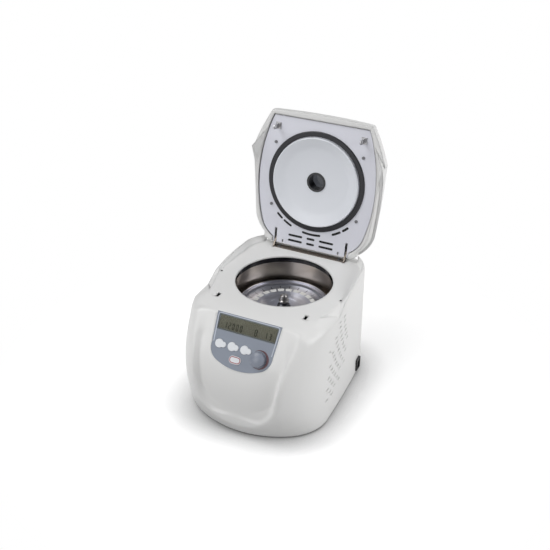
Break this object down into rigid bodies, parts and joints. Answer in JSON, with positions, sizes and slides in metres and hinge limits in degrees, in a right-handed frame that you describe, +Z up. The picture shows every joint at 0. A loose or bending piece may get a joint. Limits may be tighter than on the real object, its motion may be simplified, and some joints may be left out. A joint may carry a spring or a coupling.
{
  "type": "hematocrit centrifuge",
  "caption": "Bench centrifuge with hinged lid, capillary rotor in a steel chamber, sloped control panel with display, keys and knob, and sprung lid lock.",
  "frame": {"origin": "middle of the bounding box on the bench, lid open", "axes": "+Z up, control panel towards -Y, hinge at +Y, +X to the right seen from the front"},
  "size_m": [0.2904, 0.4114, 0.5249],
  "materials": {
    "white_abs": "satin moulded, warm white",
    "white_key": "satin moulded",
    "grey_panel": "printed film on moulded plate",
    "pale_liner": "satin sheet",
    "pale_plug": "satin moulded",
    "knob_grey": "satin moulded",
    "black_rubber": "matt",
    "grey_rubber": "matt",
    "black_plastic": "fine texture",
    "stainless": "deep-drawn, satin",
    "zinc_steel": "bright zinc plated",
    "steel_sheet": "powder coat",
    "motor_steel": "black paint",
    "aluminium": "turned, anodised",
    "polished": "polished",
    "laminate": "solder mask",
    "lcd": "anti-glare",
    "smoke_glass": "clear",
    "brass_pin": "nickel plated",
    "tab_white": "matt",
    "lamination": "varnished laminations"
  },
  "bodies": {
    "base": {"base_plate": "steel_sheet", "board_capacitors": "black_plastic", "bowl_gasket": "black_rubber", "case_screws": "zinc_steel", "casing": "white_abs", "control_panel": "grey_panel", "display_board": "laminate", "drive_board": "laminate", "feet": "grey_rubber", "foot_screws": "zinc_steel", "fuse_drawer": "black_plastic", "hinge_arms": "stainless", "hinge_pin": "zinc_steel", "hinge_screws": "zinc_steel", "hinge_strip": "stainless", "inlet_pins": "brass_pin", "latch_housings": "black_plastic", "lcd_module": "black_plastic", "lcd_window": "lcd", "lid_buffers": "grey_rubber", "lid_switch": "black_plastic", "lock_solenoid": "black_plastic", "motor_bearings": "polished", "motor_can": "motor_steel", "motor_end_bell": "aluminium", "motor_plate": "zinc_steel", "motor_posts": "zinc_steel", "motor_stator": "lamination", "power_inlet": "black_plastic", "rear_panel": "steel_sheet", "rotary_encoder": "zinc_steel", "rotor_bowl": "stainless", "rubber_mounts": "grey_rubber", "shaft_boot": "black_rubber", "switch_frame": "black_plastic"},
    "latch": {"latch_link": "zinc_steel", "solenoid_plunger": "zinc_steel"},
    "lid": {"lid_shell": "white_abs", "lid_liner": "pale_liner", "lid_screws": "zinc_steel", "lid_hooks": "stainless", "lid_seal": "black_rubber", "lid_plug": "pale_plug", "sight_tube": "black_plastic", "sight_glass": "smoke_glass", "hinge_bushes": "black_plastic"},
    "rotor": {"motor_shaft": "zinc_steel", "motor_magnets": "lamination", "rotor_hub": "aluminium", "capillary_rotor": "aluminium", "rotor_gasket": "black_rubber", "number_tabs": "tab_white", "rotor_nut": "polished"},
    "key_left": {"key_left": "white_key"},
    "key_middle": {"key_middle": "white_key"},
    "key_right": {"key_right": "white_key"},
    "start_key": {"start_key": "white_key"},
    "knob": {"knob": "knob_grey"},
    "rocker": {"power_rocker": "black_plastic"}
  },
  "joints": [
    {"name": "lid_hinge", "type": "hinge", "parent": "base", "child": "lid", "pos_m": [0, 0.15131, 0.2488], "axis": [1, 0, 0], "range_deg": [0, 98.7]},
    {"name": "latch_slide", "type": "slide", "parent": "base", "child": "latch", "axis": [-1, 0, 0], "range_m": [0, 0.005], "stiffness_N_per_m": 300, "springref_m": -0.002},
    {"name": "rotor_spin", "type": "hinge", "parent": "base", "child": "rotor", "pos_m": [0, 0.01251, 0.181], "axis": [0, 0, 1], "continuous": true},
    {"name": "key_left_press", "type": "slide", "parent": "base", "child": "key_left", "axis": [0, 0.8271, -0.5621], "range_m": [0, 0.0008], "stiffness_N_per_m": 400, "springref_m": -0.0005},
    {"name": "key_middle_press", "type": "slide", "parent": "base", "child": "key_middle", "axis": [0, 0.8271, -0.5621], "range_m": [0, 0.0008], "stiffness_N_per_m": 400, "springref_m": -0.0005},
    {"name": "key_right_press", "type": "slide", "parent": "base", "child": "key_right", "axis": [0, 0.8271, -0.5621], "range_m": [0, 0.0008], "stiffness_N_per_m": 400, "springref_m": -0.0005},
    {"name": "start_key_press", "type": "slide", "parent": "base", "child": "start_key", "axis": [0, 0.8271, -0.5621], "range_m": [0, 0.0008], "stiffness_N_per_m": 400, "springref_m": -0.0005},
    {"name": "knob_turn", "type": "hinge", "parent": "base", "child": "knob", "pos_m": [0.0365, -0.17955, 0.17545], "axis": [0, -0.8271, 0.5621], "continuous": true},
    {"name": "power_rocker_tilt", "type": "hinge", "parent": "base", "child": "rocker", "pos_m": [0.136, 0.08951, 0.025], "axis": [0, -1, 0], "range_deg": [0, 16]}
  ]
}
